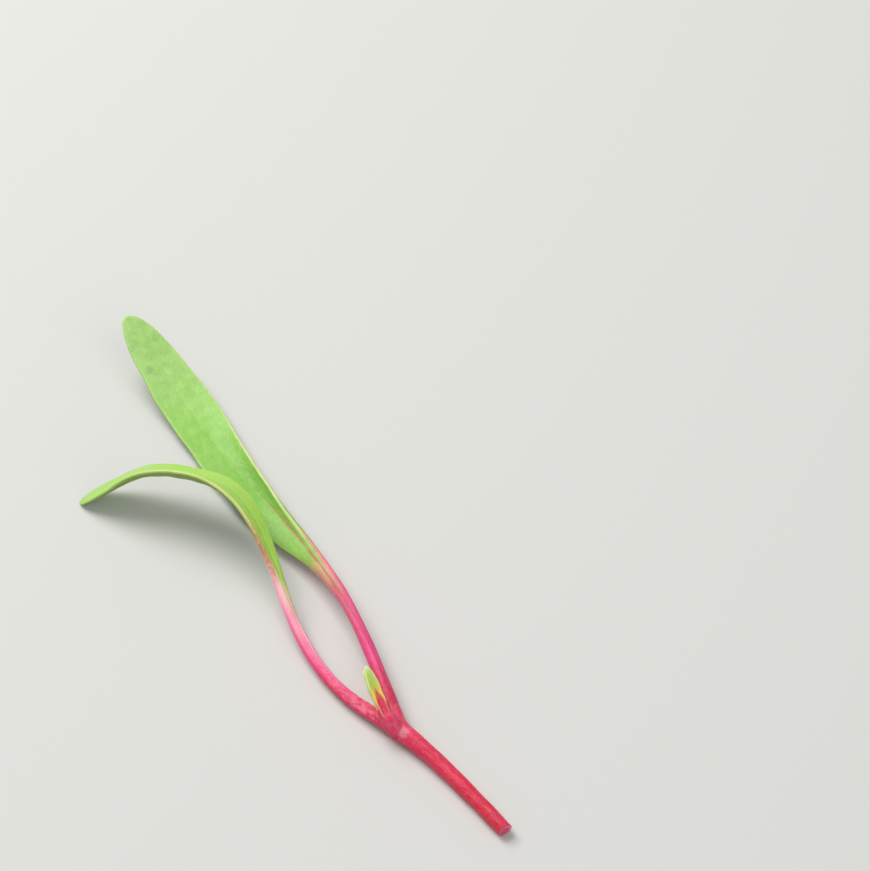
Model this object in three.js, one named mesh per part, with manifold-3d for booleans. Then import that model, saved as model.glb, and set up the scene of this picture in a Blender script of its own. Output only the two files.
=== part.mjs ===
// A cut beetroot seedling lying on a level surface: a short red stem, two long seed leaves on
// grooved stalks, and the first pair of true leaves standing in the fork between them.
//
// Millimetres, +Z up. The surface it lies on is z = 0, and every place where the plant touches
// that surface is pressed to a small flat. The fork is worked out at x = y = 0, and the finished
// group is moved so that its origin is the middle of the seedling's footprint, on the surface.
import * as THREE from "three";
import { mergeVertices } from "three/addons/utils/BufferGeometryUtils.js";
import Module from "manifold-3d";

const wasm = await Module();
wasm.setup();

// ---------------------------------------------------------------- driving dimensions
const STEM_LENGTH = 11.6; // from the knife cut to the fork
const STEM_CUT_DIAMETER = 1.1;
const STEM_FORK_DIAMETER = 1.45;

const LONG_STALK_LENGTH = 17.5;
const LONG_BLADE_LENGTH = 31.2;
const LONG_BLADE_WIDTH = 4.6;

const ARCHED_STALK_LENGTH = 14.5;
const ARCHED_BLADE_LENGTH = 25.5;
const ARCHED_BLADE_WIDTH = 4.6;

const STALK_FOOT_WIDTH = 1.25; // the long leaf's, at the fork
const STALK_WIDTH = 0.85; // the long leaf's, further up
const ARCHED_FOOT_WIDTH = 1.35;
const ARCHED_STALK_WIDTH = 0.9;
const STALK_THICKNESS = 0.95;
const BLADE_THICKNESS = 0.62;
const TIP_BLUNTNESS = 6; // higher is blunter

const TRUE_LEAF_LENGTH = 3.7;
const TRUE_LEAF_BASE_WIDTH = 0.75;
const TRUE_LEAF_WIDTH = 1.0;
const TRUE_LEAF_THICKNESS = 0.3;
const TRUE_LEAF_GAP = 0.34; // between the middles of their faces; their edges are closer
const TRUE_LEAF_RISE = 1.8; // from foot to tip
const TRUE_LEAF_FOOT = [-1.1, 0.62]; // in plan, from the fork

const JOIN_GAP = 0.3; // between pieces that grow from one another
const PRESS = 0.05; // how deep what touches the surface is pressed flat
const FORK_CLEARANCE = 0.08; // under the stem at the fork
const STALK_CLEARANCE = 0.15; // under the arched leaf's stalk, at its lowest

// What follows from them.
const FORK_HEIGHT = STEM_FORK_DIAMETER / 2 + FORK_CLEARANCE;
const TRUE_LEAF_SPACING = TRUE_LEAF_THICKNESS + TRUE_LEAF_GAP;
const FOOT = 4 * ARCHED_FOOT_WIDTH + 2 * JOIN_GAP; // how far round the fork the stalks are trimmed
const REACH = STEM_LENGTH + LONG_STALK_LENGTH + LONG_BLADE_LENGTH + ARCHED_BLADE_LENGTH;

// Facets: points round a section, and sections along a piece.
const SECTION_POINTS = 16;
const STALK_SECTIONS = 15;
const BLADE_SECTIONS = 26;
const STEM_SECTIONS = 12;
const TRUE_LEAF_SECTIONS = 10;

// ---------------------------------------------------------------- profiles and paths
const { clamp, degToRad, lerp, smoothstep } = THREE.MathUtils;

// A smooth curve through [share, value] knots, read at one share of the way along.
function along(knots, share) {
  const last = knots.length - 1;
  const i = clamp(knots.findIndex(([s]) => s > share) - 1, 0, last - 1);
  const k = share >= knots[last][0] ? last - 1 : i;
  const slope = (a, b) => (knots[b][1] - knots[a][1]) / (knots[b][0] - knots[a][0]);
  const span = knots[k + 1][0] - knots[k][0];
  const start = slope(Math.max(k - 1, 0), k + 1) * span;
  const end = slope(k, Math.min(k + 2, last)) * span;
  const t = clamp((share - knots[k][0]) / span, 0, 1);
  const t2 = t * t;
  const t3 = t2 * t;
  return (
    (2 * t3 - 3 * t2 + 1) * knots[k][1] +
    (t3 - 2 * t2 + t) * start +
    (3 * t2 - 2 * t3) * knots[k + 1][1] +
    (t3 - t2) * end
  );
}

// A path of a given length, walked in small steps. Its bearing in plan, in degrees from +X, and
// its height above the surface are profiles over the share of the length walked.
function walk({ from, length, bearing, height }) {
  const STEPS = 400;
  const step = length / STEPS;
  const points = [new THREE.Vector3(from[0], from[1], along(height, 0))];
  for (let i = 0; i < STEPS; i++) {
    const here = points[i];
    const rise = along(height, (i + 1) / STEPS) - here.z;
    const run = Math.sqrt(Math.max(step * step - rise * rise, 0));
    const angle = degToRad(along(bearing, (i + 0.5) / STEPS));
    points.push(
      new THREE.Vector3(
        here.x + run * Math.cos(angle),
        here.y + run * Math.sin(angle),
        here.z + rise,
      ),
    );
  }
  return (share) => {
    const place = clamp(share, 0, 1) * STEPS;
    const i = Math.min(Math.floor(place), STEPS - 1);
    const tangent = points[i + 1].clone().sub(points[i]).normalize();
    return { point: points[i].clone().lerp(points[i + 1], place - i), tangent };
  };
}

// One ring of a limb. The section is an ellipse, with its own half-width on each side of the
// midline. It can have a groove on top and a rib below, and each half is then curled up by its
// own number of degrees. Pairs are [right, left], looking along the limb.
function ring({ point, tangent }, section) {
  const { halfWidths, halfThickness, groove = 0, rib = 0, curls = [0, 0], roll = 0 } = section;
  const up = new THREE.Vector3(0, 0, 1);
  const right = tangent.clone().cross(up).normalize();
  const over = right.clone().cross(tangent);
  const tilt = degToRad(roll);
  const across = right.clone().multiplyScalar(Math.cos(tilt)).addScaledVector(over, Math.sin(tilt));
  const normal = over.multiplyScalar(Math.cos(tilt)).addScaledVector(right, -Math.sin(tilt));
  const spread = 0.175 * (halfWidths[0] + halfWidths[1]); // how wide the groove and the rib are
  return Array.from({ length: SECTION_POINTS }, (_, k) => {
    const turn = (2 * Math.PI * k) / SECTION_POINTS;
    const half = Math.cos(turn) > 0 ? 0 : 1;
    const bend = degToRad(curls[half] || 0.01) / halfWidths[half];
    const y = halfWidths[half] * Math.cos(turn);
    const bump = Math.exp(-((y / spread) ** 2));
    const z = halfThickness * Math.sin(turn) - bump * (Math.sin(turn) > 0 ? groove : rib);
    const side = Math.sin(bend * y) * (1 / bend - z);
    const lift = 1 / bend - Math.cos(bend * y) * (1 / bend - z);
    return point.clone().addScaledVector(across, side).addScaledVector(normal, lift);
  });
}

// A closed mesh through rings of points, with a fan over each end.
function skin(rings) {
  const middle = (points) =>
    points.reduce((sum, p) => sum.add(p), new THREE.Vector3()).divideScalar(points.length);
  const ends = [middle(rings[0]), middle(rings[rings.length - 1])];
  const vertices = [...rings.flat(), ...ends];
  const first = rings.flat().length;
  const at = (r, k) => r * SECTION_POINTS + (k % SECTION_POINTS);
  const index = [];
  for (let k = 0; k < SECTION_POINTS; k++) {
    for (let r = 0; r + 1 < rings.length; r++) {
      index.push(at(r, k), at(r + 1, k), at(r, k + 1));
      index.push(at(r, k + 1), at(r + 1, k), at(r + 1, k + 1));
    }
    index.push(first, at(0, k), at(0, k + 1));
    index.push(first + 1, at(rings.length - 1, k + 1), at(rings.length - 1, k));
  }
  return new THREE.BufferGeometry().setFromPoints(vertices).setIndex(index);
}

// ---------------------------------------------------------------- cutting
function solid(geometry) {
  const bare = geometry.clone();
  bare.deleteAttribute("normal");
  bare.deleteAttribute("uv");
  const merged = mergeVertices(bare, 1e-4);
  return new wasm.Manifold(
    new wasm.Mesh({
      numProp: 3,
      vertProperties: new Float32Array(merged.attributes.position.array),
      triVerts: new Uint32Array(merged.index.array),
    }),
  );
}

function geometryOf(body) {
  const mesh = body.getMesh();
  return new THREE.BufferGeometry()
    .setAttribute("position", new THREE.BufferAttribute(mesh.vertProperties, 3))
    .setIndex(new THREE.BufferAttribute(mesh.triVerts, 1));
}

// A cube behind a plane: its front face is centred on `point` and faces `normal`.
function behind(point, normal, size = 2 * REACH) {
  const block = new THREE.BoxGeometry(size, size, size);
  block.translate(0, 0, -size / 2);
  const turn = new THREE.Quaternion().setFromUnitVectors(new THREE.Vector3(0, 0, 1), normal);
  block.applyQuaternion(turn).translate(point.x, point.y, point.z);
  return solid(block);
}

const bench = behind(new THREE.Vector3(0, 0, 0), new THREE.Vector3(0, 0, 1));

// ---------------------------------------------------------------- the stem
const STEM_BEARING = -42; // from the fork towards the cut
const stemWidth = (share) =>
  along([[0, STEM_FORK_DIAMETER], [0.25, lerp(STEM_FORK_DIAMETER, STEM_CUT_DIAMETER, 0.55)],
    [1, STEM_CUT_DIAMETER]], share);
const stemPath = walk({
  from: [0, 0],
  length: STEM_LENGTH,
  bearing: [[0, STEM_BEARING], [0.5, -50], [1, -53]],
  height: [[0, FORK_HEIGHT], [0.5, stemWidth(0.5) / 2 - PRESS / 2], [1, stemWidth(1) / 2 - PRESS]],
});

function stemBody() {
  const rings = Array.from({ length: STEM_SECTIONS + 1 }, (_, i) => {
    const share = i / STEM_SECTIONS;
    const radius = stemWidth(share) / 2;
    return ring(stemPath(share), { halfWidths: [radius, radius], halfThickness: radius });
  });
  return solid(skin(rings)).subtract(bench);
}

// ---------------------------------------------------------------- the seed leaves
// A stalk that widens into a long, blunt, slightly channelled blade, all in one piece. The two
// halves of the blade widen and curl each in its own way.
function seedLeaf({ path, stalk, blade, width, stalkWidths, widenings, roll, curls }) {
  const length = stalk + blade;
  const fromStalk = Array.from({ length: STALK_SECTIONS }, (_, i) => (stalk * i) / STALK_SECTIONS);
  const fromBlade = Array.from({ length: BLADE_SECTIONS }, (_, i) =>
    stalk + blade * Math.sin((Math.PI / 2) * (i / BLADE_SECTIONS)));
  const rings = [...fromStalk, ...fromBlade, length * 0.9995].map((distance) => {
    const share = distance / length;
    const out = (distance - stalk) / blade; // share of the blade alone, negative on the stalk
    const flattening = smoothstep(out, -0.15, 0.25);
    const rounding = Math.sqrt(1 - Math.max(out, 0) ** TIP_BLUNTNESS);
    const stalkWidth = along(stalkWidths, distance / stalk);
    return ring(path(share), {
      halfWidths: widenings.map((side) =>
        (lerp(stalkWidth, width, along(side, out)) / 2) * rounding),
      halfThickness: lerp(STALK_THICKNESS, BLADE_THICKNESS, flattening) / 2 * Math.sqrt(rounding),
      groove: 0.12 * (1 - share) * smoothstep(share, 0.05, 0.3),
      rib: 0.16 * flattening * (1 - share),
      curls: curls.map((side) => along(side, share)),
      roll: along(roll, share),
    });
  });
  return solid(skin(rings)).subtract(bench);
}

const longPath = walk({
  from: [0, 0],
  length: LONG_STALK_LENGTH + LONG_BLADE_LENGTH,
  bearing: [
    [0, 107], [0.13, 110], [0.3, 117], [0.42, 121.5], [0.5, 125], [0.6, 124.5],
    [0.7, 121.5], [0.82, 124], [1, 133],
  ],
  height: [
    [0, FORK_HEIGHT + 0.1], [0.13, 1.5], [0.28, 1.9], [0.45, 1.2],
    [0.65, (BLADE_THICKNESS - PRESS) / 2], [0.8, 0.8], [0.9, 2.2], [1, 4.6],
  ],
});
const archedPath = walk({
  from: [0, 0],
  length: ARCHED_STALK_LENGTH + ARCHED_BLADE_LENGTH,
  bearing: [
    [0, 143], [0.1, 138], [0.2, 124], [0.35, 113], [0.5, 113.5],
    [0.62, 132], [0.75, 158], [0.88, 178], [1, 194],
  ],
  height: [
    [0, FORK_HEIGHT], [0.15, STALK_THICKNESS / 2 + STALK_CLEARANCE], [0.3, 1.05], [0.45, 2.6],
    [0.58, 4.0], [0.7, 4.4], [0.82, 3.5], [0.93, 1.35], [1, PRESS],
  ],
});

const FORK_BEARING = 127; // the plane that parts the two stalks runs this way
const level = (bearing) =>
  new THREE.Vector3(Math.cos(degToRad(bearing)), Math.sin(degToRad(bearing)), 0);

// Trims a stalk's foot: flat against the stem's end, and flat against the other stalk.
function seated(leaf, side) {
  const ahead = level(STEM_BEARING + 180);
  const apart = level(FORK_BEARING + side * 90);
  return leaf
    .subtract(behind(ahead.clone().multiplyScalar(JOIN_GAP), ahead, FOOT))
    .subtract(behind(apart.clone().multiplyScalar(JOIN_GAP / 2), apart, FOOT));
}

// ---------------------------------------------------------------- the true leaves
// A small folded leaf. The pair lies face to face, one over the other, rising from the fork.
function trueLeaf(side) {
  const foot = FORK_HEIGHT + STALK_THICKNESS / 2 + JOIN_GAP + ((1 + side) / 2) * TRUE_LEAF_SPACING;
  const path = walk({
    from: TRUE_LEAF_FOOT,
    length: TRUE_LEAF_LENGTH,
    bearing: [[0, 118], [1, 118 - side * 2]],
    height: [[0, foot], [1, foot + TRUE_LEAF_RISE]],
  });
  const rings = Array.from({ length: TRUE_LEAF_SECTIONS + 1 }, (_, i) => {
    const share = Math.sin((Math.PI / 2) * (i / TRUE_LEAF_SECTIONS)) * 0.999;
    const widening = smoothstep(share, 0, 0.7);
    const rounding = Math.sqrt(1 - share ** TIP_BLUNTNESS);
    const half = (lerp(TRUE_LEAF_BASE_WIDTH, TRUE_LEAF_WIDTH, widening) / 2) * rounding;
    return ring(path(share), {
      halfWidths: [half, half],
      halfThickness: (TRUE_LEAF_THICKNESS / 2) * Math.sqrt(rounding),
      curls: [22, 22],
    });
  });
  return solid(skin(rings));
}

// ---------------------------------------------------------------- the seedling
function piece(name, body, color, roughness) {
  const mesh = new THREE.Mesh(
    geometryOf(body),
    new THREE.MeshStandardMaterial({ color, roughness, metalness: 0 }),
  );
  mesh.name = name;
  return mesh;
}

const longLeaf = seedLeaf({
  path: longPath,
  stalk: LONG_STALK_LENGTH,
  blade: LONG_BLADE_LENGTH,
  width: LONG_BLADE_WIDTH,
  stalkWidths: [[0, STALK_FOOT_WIDTH], [0.28, lerp(STALK_FOOT_WIDTH, STALK_WIDTH, 0.63)],
    [0.68, STALK_WIDTH], [1, STALK_WIDTH]],
  widenings: [
    [[-0.05, 0], [0.05, 0.02], [0.22, 0.28], [0.4, 0.74], [0.6, 1], [0.8, 1.06], [1, 1.06]],
    [[-0.16, 0], [0, 0.28], [0.12, 0.7], [0.3, 1], [0.6, 1], [1, 1]],
  ],
  roll: [[0, 0], [0.2, 14], [0.33, 30], [0.45, 25], [0.56, 7], [0.66, 1], [1, 2]],
  curls: [
    [[0, 5], [0.3, 60], [0.38, 92], [0.47, 90], [0.57, 84], [0.68, 50], [0.8, 15], [1, 10]],
    [[0, 5], [0.4, 25], [0.6, 20], [1, 15]],
  ],
});
const archedLeaf = seedLeaf({
  path: archedPath,
  stalk: ARCHED_STALK_LENGTH,
  blade: ARCHED_BLADE_LENGTH,
  width: ARCHED_BLADE_WIDTH,
  stalkWidths: [[0, ARCHED_FOOT_WIDTH], [0.28, lerp(ARCHED_FOOT_WIDTH, ARCHED_STALK_WIDTH, 0.56)],
    [0.62, ARCHED_STALK_WIDTH], [1, ARCHED_STALK_WIDTH]],
  widenings: [
    [[-0.06, 0], [0.05, 0.04], [0.2, 0.18], [0.34, 0.44], [0.5, 0.78], [1, 0.9]],
    [[-0.03, 0], [0.08, 0.03], [0.2, 0.1], [0.34, 0.36], [0.5, 0.74], [1, 0.9]],
  ],
  roll: [[0, 0], [0.3, -22], [0.45, -34], [0.6, -36], [0.75, -38], [0.88, -30], [1, -22]],
  curls: [
    [[0, 5], [0.38, 42], [0.55, 28], [0.7, 20], [0.85, 18], [1, 12]],
    [[0, 5], [0.38, 42], [0.55, 30], [0.7, 20], [0.85, 18], [1, 12]],
  ],
});

const seedling = new THREE.Group();
seedling.add(piece("stem", stemBody(), 0xb8233f, 0.4));
seedling.add(piece("long_seed_leaf", seated(longLeaf, -1), 0x8fc85a, 0.45));
seedling.add(piece("arched_seed_leaf", seated(archedLeaf, 1), 0x8fc85a, 0.45));
seedling.add(piece("upper_true_leaf", trueLeaf(1), 0xb4d24a, 0.4));
seedling.add(piece("lower_true_leaf", trueLeaf(-1), 0xb4d24a, 0.4));

const footprint = new THREE.Box3().setFromObject(seedling);
const centre = footprint.getCenter(new THREE.Vector3());
seedling.position.set(-centre.x, -centre.y, -footprint.min.z);

export default seedling;
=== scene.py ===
# %% [markdown]
# # A cut beetroot seedling
#
# The part is one beetroot seedling, snipped off at the root and laid on a table: a short crimson
# stem, two long seed leaves on grooved stalks, and two tiny true leaves just opening in the fork.
# The whole plant is about 50 mm long, and sizes below are in millimetres unless they say metres.
#
# The plant pieces made here stand in the same places as the frame's plain solids and are shown
# instead of them.

# %% The frame, and the box that the finished plant has to fit
import math

import bpy
import numpy as np
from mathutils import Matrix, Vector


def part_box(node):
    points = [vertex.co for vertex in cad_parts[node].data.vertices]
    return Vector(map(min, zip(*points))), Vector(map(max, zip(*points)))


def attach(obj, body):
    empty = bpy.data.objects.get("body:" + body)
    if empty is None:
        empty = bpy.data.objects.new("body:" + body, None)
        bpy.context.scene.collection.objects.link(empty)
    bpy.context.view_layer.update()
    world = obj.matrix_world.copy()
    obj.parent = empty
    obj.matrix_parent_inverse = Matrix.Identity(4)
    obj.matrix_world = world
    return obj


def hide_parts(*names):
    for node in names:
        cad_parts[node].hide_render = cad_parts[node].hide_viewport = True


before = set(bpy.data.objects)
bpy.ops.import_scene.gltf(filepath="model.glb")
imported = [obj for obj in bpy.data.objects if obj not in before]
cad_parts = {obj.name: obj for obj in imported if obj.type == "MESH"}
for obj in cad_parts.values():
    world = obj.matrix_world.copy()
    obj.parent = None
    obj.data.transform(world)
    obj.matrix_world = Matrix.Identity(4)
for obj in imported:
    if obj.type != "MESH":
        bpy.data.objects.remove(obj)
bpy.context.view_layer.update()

# %% [markdown]
# ## Where the pieces come from
#
# Shapes are worked out round the fork of the plant, where the stem divides, and moved to the
# fork's place in the frame, in metres, when their mesh is made. Each finished piece is compared
# with the frame's own box for it, printed here.

# %% Units, the fork's place, and adding an object
MM = 0.001
FORK = np.array([9.056, -16.077, 0.0])  # millimetres, from the middle of the plant's footprint


def add_object(name, data):
    """A new object in the scene: a mesh, a lamp or a camera."""
    made = bpy.data.objects.new(name, data)
    bpy.context.scene.collection.objects.link(made)
    return made


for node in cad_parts:
    low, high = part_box(node)
    print(node, "box in mm", np.round(np.array([low, high]) / MM, 2).tolist())

# %% [markdown]
# ## Smooth curves through a few knots
#
# Growing things change width, height and direction gradually. Each change is written as a few
# knots: the share of the way along, and the value there. A cubic between each pair of knots,
# with a knot's slope taken from its two neighbours, gives a soft curve.


# %% A curve through knots, read for a whole array at once
def along(knots, share):
    """value = cubic Hermite curve through (place, value) knots.

    The slope at a knot is (next value - previous value) / (next place - previous place), and
    one-sided at the two ends.
    """
    places, values = np.array(knots, float).T
    share = np.clip(np.asarray(share, float), places[0], places[-1])
    slopes = np.empty_like(values)
    slopes[1:-1] = (values[2:] - values[:-2]) / (places[2:] - places[:-2])
    slopes[[0, -1]] = (np.diff(values) / np.diff(places))[[0, -1]]
    k = np.clip(np.searchsorted(places, share, side="right") - 1, 0, len(places) - 2)
    span = places[k + 1] - places[k]
    t = (share - places[k]) / span
    return (
        (2 * t**3 - 3 * t**2 + 1) * values[k]
        + (t**3 - 2 * t**2 + t) * slopes[k] * span
        + (3 * t**2 - 2 * t**3) * values[k + 1]
        + (t**3 - t**2) * slopes[k + 1] * span
    )


def ease(value, low, high):
    """t = (value - low) / (high - low), held to 0..1; the answer is 3t^2 - 2t^3."""
    t = np.clip((value - low) / (high - low), 0, 1)
    return t * t * (3 - 2 * t)


def between(a, b, share):
    """a where share is 0, b where it is 1."""
    return a + (b - a) * share


print("a curve through three knots, at its quarter:", along([[0, 0], [0.5, 1], [1, 0]], 0.25))

# %% [markdown]
# ## Walking out a midline
#
# A stalk keeps its length while it bends, so a midline is walked rather than drawn: height above
# the table comes from one curve, compass bearing from another, and each small step goes forward
# by what is left of it once the rise is taken out.


# %% A midline of a given length, with its directions
def walk(start, length, bearing, height, steps=400):
    """run = sqrt(step^2 - rise^2); x += run cos(bearing), y += run sin(bearing), z = height.

    Beside each point go its tangent and the two directions square to it: `right` lies level,
    and `over` points away from the table.
    """
    share = np.arange(steps + 1) / steps
    z = along(height, share)
    run = np.sqrt(np.maximum((length / steps) ** 2 - np.diff(z) ** 2, 0))
    heading = np.radians(along(bearing, share[:-1] + 0.5 / steps))
    x = start[0] + np.append(0, np.cumsum(run * np.cos(heading)))
    y = start[1] + np.append(0, np.cumsum(run * np.sin(heading)))
    points = np.stack([x, y, z], axis=1)
    tangents = np.gradient(points, axis=0)
    tangents /= np.linalg.norm(tangents, axis=1, keepdims=True)
    right = np.cross(tangents, [0.0, 0.0, 1.0])
    right /= np.linalg.norm(right, axis=1, keepdims=True)
    over = np.cross(right, tangents)
    distance = share * length
    return dict(
        length=length, distance=distance, points=points, tangents=tangents, right=right, over=over
    )


def read(path, what, distance):
    """The path's points or directions at any distances, straight between the walked steps."""
    rows = path[what]
    return np.stack([np.interp(distance, path["distance"], rows[:, i]) for i in range(3)], -1)


# %% [markdown]
# ## Natural unevenness
#
# No stalk is quite straight and no leaf quite flat. A ripple is a sum of a few slow waves whose
# directions, lengths and starting points come from a seeded generator, so that the plant is
# uneven in the same way every time.


# %% Seeded ripples
def ripple(a, b, wavelength, seed, waves=7):
    """sum of cos(2 pi (a cos t + b sin t) / w + p) over a few waves, scaled to about -1..1."""
    draw = np.random.default_rng(seed)
    total = 0.0
    for turn, stretch, phase in draw.random((waves, 3)):
        angle = math.pi * turn
        w = wavelength * (0.6 + 0.9 * stretch)
        total = total + np.cos(
            2 * math.pi * ((a * math.cos(angle) + b * math.sin(angle)) / w + phase)
        )
    return total / math.sqrt(waves)


# %% [markdown]
# ## The skin round a midline
#
# Stalks and leaves are the same kind of surface: a section carried along a midline. It is an
# ellipse where its squareness is 2, and nearer a flat strip with rounded edges above that. It can
# have a groove on top and a rib below, and each half can curl up by its own angle, because a leaf
# seldom folds evenly.


# %% A section carried along a path
def limb_skin(path, distance, around, right_width, left_width, half_thickness, roll=0.0,
              curl_right=0.0, curl_left=0.0, squareness=2.0, edge_thinning=0.0, groove=0.0,
              groove_spread=1.0, rib=0.0, rib_spread=1.0, relief=None):
    """y = w cos(t); z = h sign(sin t) (1 - |cos t|^n)^(1/n), minus groove above and rib below.

    The half-width w is its own number on each side of the midline. Then each half is rolled up
    on a circle: with k = curl / w, side = sin(k y)(1/k - z) and lift = 1/k - cos(k y)(1/k - z).
    A point is middle + side * across + lift * normal.
    """
    turn = 2 * math.pi * np.arange(around) / around
    cos, sin = np.cos(turn)[None], np.sin(turn)[None]
    column = lambda value: np.broadcast_to(value, distance.shape)[:, None]
    w = np.where(cos > 0, column(right_width), column(left_width))
    n = column(squareness)
    y = w * cos
    z = column(half_thickness) * np.sign(sin) * (1 - np.abs(cos) ** n) ** (1 / n)
    z = z * (1 - column(edge_thinning) * cos**2)
    z = z - (sin > 0) * column(groove) * np.exp(-((y / column(groove_spread)) ** 2))
    z = z - (sin < 0) * column(rib) * np.exp(-((y / column(rib_spread)) ** 2))
    straight = np.stack([y, np.broadcast_to(distance[:, None], y.shape), z], axis=-1)
    if relief is not None:
        y, z = relief(distance[:, None], y, z, cos, sin)
    k = np.radians(np.where(y > 0, column(curl_right), column(curl_left)))
    k = np.maximum(k / np.maximum(w, 1e-3), 1e-4)
    side = np.sin(k * y) * (1 / k - z)
    lift = 1 / k - np.cos(k * y) * (1 / k - z)
    tilt = np.radians(column(roll))
    right, over = read(path, "right", distance), read(path, "over", distance)
    across = right * np.cos(tilt) + over * np.sin(tilt)
    normal = over * np.cos(tilt) - right * np.sin(tilt)
    middle = read(path, "points", distance)
    grid = middle[:, None] + side[..., None] * across[:, None] + lift[..., None] * normal[:, None]
    facts = dict(
        straight=straight,
        edge=np.broadcast_to(np.abs(cos), y.shape),
        face=np.broadcast_to(np.clip(3 * sin, -1, 1), y.shape),
    )
    return grid, facts


# %% [markdown]
# ## From a grid to a closed mesh
#
# The grid becomes a tube of quads, and a pole point closes each end. Three facts about every
# point go into the mesh as attributes, so that colour can follow growth rather than space:
# `straight` is its place if the limb were pulled straight (across, along, up), `edge` runs from
# the midline out to the margin, and `face` is 1 on top and -1 underneath.


# %% Meshes out of arrays
def make_piece(name, points, faces, facts, replaces):
    """Places points (millimetres round the fork) in the frame and names what they stand for."""
    points = np.maximum(points + FORK, [-np.inf, -np.inf, 0.0]) * MM
    mesh = bpy.data.meshes.new(name)
    mesh.from_pydata(points.tolist(), [], [face.tolist() for face in faces])
    for fact, values in facts.items():
        kind = "FLOAT_VECTOR" if values.ndim == 2 else "FLOAT"
        field = "vector" if values.ndim == 2 else "value"
        layer = mesh.attributes.new(fact, kind, "POINT")
        layer.data.foreach_set(field, np.ascontiguousarray(values, np.float32).ravel())
    mesh.polygons.foreach_set("use_smooth", np.ones(len(mesh.polygons), bool))
    mesh.update()
    piece = add_object(name, mesh)
    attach(piece, "root")
    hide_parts(replaces)
    low, high = np.array(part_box(replaces)) / MM
    print(name, len(points), "points; lowest and highest corners differ from the frame's by",
          np.round(points.min(0) / MM - low, 2), np.round(points.max(0) / MM - high, 2), "mm")
    return piece


def tube_faces(rows, around):
    """Quads between neighbouring rows, and a fan from each end row to its own pole point."""
    r, k = np.meshgrid(np.arange(rows - 1), np.arange(around), indexing="ij")
    on = (k + 1) % around
    quads = np.stack(
        [r * around + k, (r + 1) * around + k, (r + 1) * around + on, r * around + on], axis=-1
    ).reshape(-1, 4)
    k, on, first, last = k[0], on[0], rows * around, (rows - 1) * around
    start = np.stack([np.full(around, first), k, on], axis=1)
    end = np.stack([np.full(around, first + 1), last + on, last + k], axis=1)
    return [*quads, *start, *end]


def close_ends(values):
    """The grid's rows as one list, with the middle of the first and of the last row added."""
    flat = values.reshape(-1, *values.shape[2:])
    return np.concatenate([flat, values[0].mean(0)[None], values[-1].mean(0)[None]])


def limb_piece(name, grid, facts, slot, replaces):
    """A whole piece from one limb's grid."""
    rows, around = grid.shape[:2]
    facts = {fact: close_ends(values) for fact, values in facts.items()}
    return make_piece(name, close_ends(grid), tube_faces(rows, around), facts, replaces)


# %% [markdown]
# ## Paints and wiring
#
# Colours are written as a paint chart gives them, as three numbers up to 255, and turned into
# the linear light that shaders work in. Small helpers keep the node wiring readable: they add a
# node and connect it, do sums with masks, lay one colour on another, or open a reusable group.


# %% Colour and node helpers
def paint(red, green, blue):
    """linear = ((c + 0.055) / 1.055)^2.4 for each channel c from 0 to 1."""
    c = np.array([red, green, blue]) / 255
    linear = np.where(c <= 0.04045, c / 12.92, ((c + 0.055) / 1.055) ** 2.4)
    return (*linear.tolist(), 1.0)


def put(tree, kind, inputs=(), **settings):
    """Adds a node, sets its properties, and sets or links its inputs by name or number."""
    node = tree.nodes.new("ShaderNode" + kind)
    for key, value in settings.items():
        setattr(node, key, value)
    for key, value in dict(inputs).items():
        if isinstance(value, bpy.types.NodeSocket):
            tree.links.new(value, node.inputs[key])
        else:
            node.inputs[key].default_value = value
    return node


def maths(tree, operation, *values):
    """One arithmetic step between sockets or numbers."""
    return put(tree, "Math", enumerate(values), operation=operation).outputs[0]


def times(tree, first, *others):
    """The product of two or more sockets or numbers."""
    for other in others:
        first = maths(tree, "MULTIPLY", first, other)
    return first


def swing(tree, mask, amount):
    """A mask from 0 to 1, turned into -amount / 2 to amount / 2."""
    return times(tree, maths(tree, "SUBTRACT", mask, 0.5), amount)


def spread(tree, value, low, high, to_low=0.0, to_high=1.0):
    """Stretches low..high to to_low..to_high, softly and without going past either end."""
    inputs = {"Value": value, "From Min": low, "From Max": high, "To Min": to_low,
              "To Max": to_high}
    return put(tree, "MapRange", inputs, interpolation_type="SMOOTHSTEP").outputs[0]


def spread_straight(tree, value, low, high):
    """Stretches low..high to 0..1 in an even ramp."""
    inputs = {"Value": value, "From Min": low, "From Max": high}
    return put(tree, "MapRange", inputs, interpolation_type="LINEAR").outputs[0]


def tint(tree, share, under, over, mode="MIX"):
    """The colour `under`, covered by `over` as far as `share` says."""
    node = put(tree, "Mix", data_type="RGBA", blend_type=mode)
    for socket, value in zip([node.inputs[0], node.inputs[6], node.inputs[7]],
                             [share, under, over]):
        if isinstance(value, bpy.types.NodeSocket):
            tree.links.new(value, socket)
        else:
            socket.default_value = value
    return node.outputs[2]


def coats(tree, colour, *layers):
    """A colour under several thin coats, each its share and its three paint numbers."""
    for share, over in layers:
        colour = tint(tree, share, colour, paint(*over))
    return colour


def group(name, inputs, outputs):
    """A new shader group; returns its tree, and its inputs and outputs by name."""
    tree = bpy.data.node_groups.new(name, "ShaderNodeTree")
    for label, value in inputs.items():
        socket = tree.interface.new_socket(label, in_out="INPUT", socket_type="NodeSocketFloat")
        socket.default_value = value
    for label in outputs:
        tree.interface.new_socket(label, in_out="OUTPUT", socket_type="NodeSocketFloat")
    return tree, tree.nodes.new("NodeGroupInput").outputs, tree.nodes.new("NodeGroupOutput").inputs


def use(tree, made, **values):
    """Places a group in a material, with this material's own values."""
    node = tree.nodes.new("ShaderNodeGroup")
    node.node_tree = made
    for label, value in values.items():
        node.inputs[label.replace("_", " ")].default_value = value
    return node.outputs


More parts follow.
